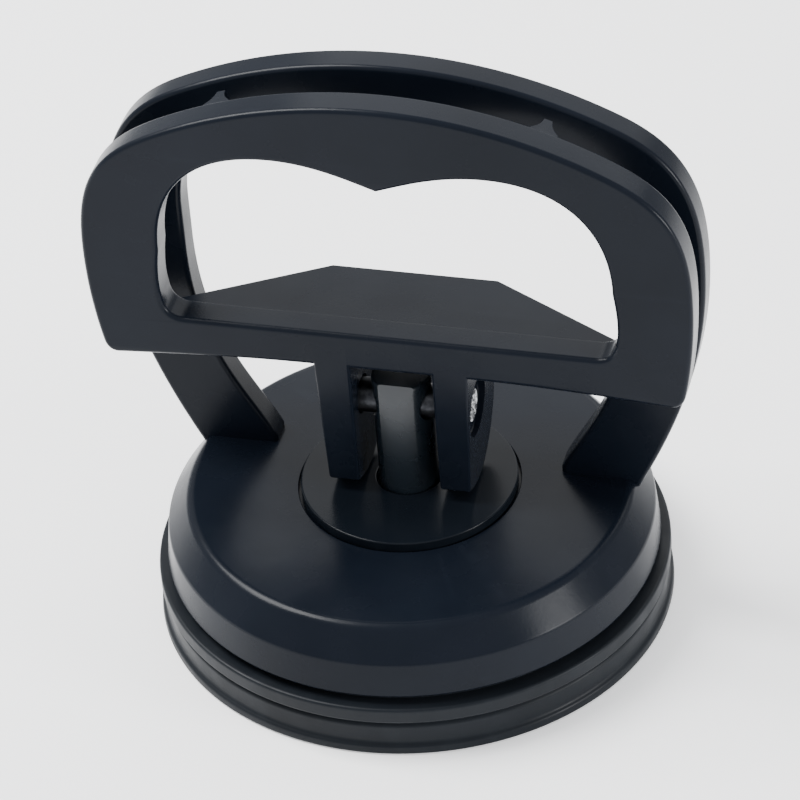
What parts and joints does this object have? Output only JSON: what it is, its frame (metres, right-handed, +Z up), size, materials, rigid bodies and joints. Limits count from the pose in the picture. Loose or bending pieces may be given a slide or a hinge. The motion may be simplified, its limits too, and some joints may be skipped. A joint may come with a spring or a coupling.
{
  "type": "vacuum suction cup",
  "caption": "Hand-held vacuum suction cup: a round cap over a rubber cup, with a fixed arched handle and a hinged squeeze lever whose cams lift the cup's centre.",
  "frame": {"origin": "on the axis of the rubber cup, in the plane that its lip rests on", "axes": "+X along the handles, +Y from the lever towards the fixed handle, +Z up along the stem"},
  "size_m": [0.0662, 0.057, 0.0662],
  "materials": {
    "black_plastic": "satin moulded, faint grain",
    "black_rubber": "smooth moulded rubber",
    "pin_steel": "bright, rough cut ends",
    "zinc_steel": "dull plated"
  },
  "bodies": {
    "cap": {"cap_body": "black_plastic", "wear_disc": "black_plastic", "suction_cup": "black_rubber", "return_spring": "pin_steel"},
    "stem": {"pull_stem": "black_plastic", "insert_plate": "zinc_steel", "stem_screw": "zinc_steel"},
    "lever": {"lever_handle": "black_plastic", "hinge_pin": "pin_steel"}
  },
  "joints": [
    {"name": "stem_slide", "type": "slide", "parent": "cap", "child": "stem", "axis": [0, 0, 1], "range_m": [-0.00147, 0.00007], "deforming": ["return_spring", "suction_cup"]},
    {"name": "lever_swing", "type": "hinge", "parent": "stem", "child": "lever", "pos_m": [0, 0, 0.026], "axis": [1, 0, 0], "range_deg": [-3, 70]}
  ],
  "couplings": [
    {"joint": "stem_slide", "follows": "lever_swing", "m_per_rad": -0.0012}
  ]
}
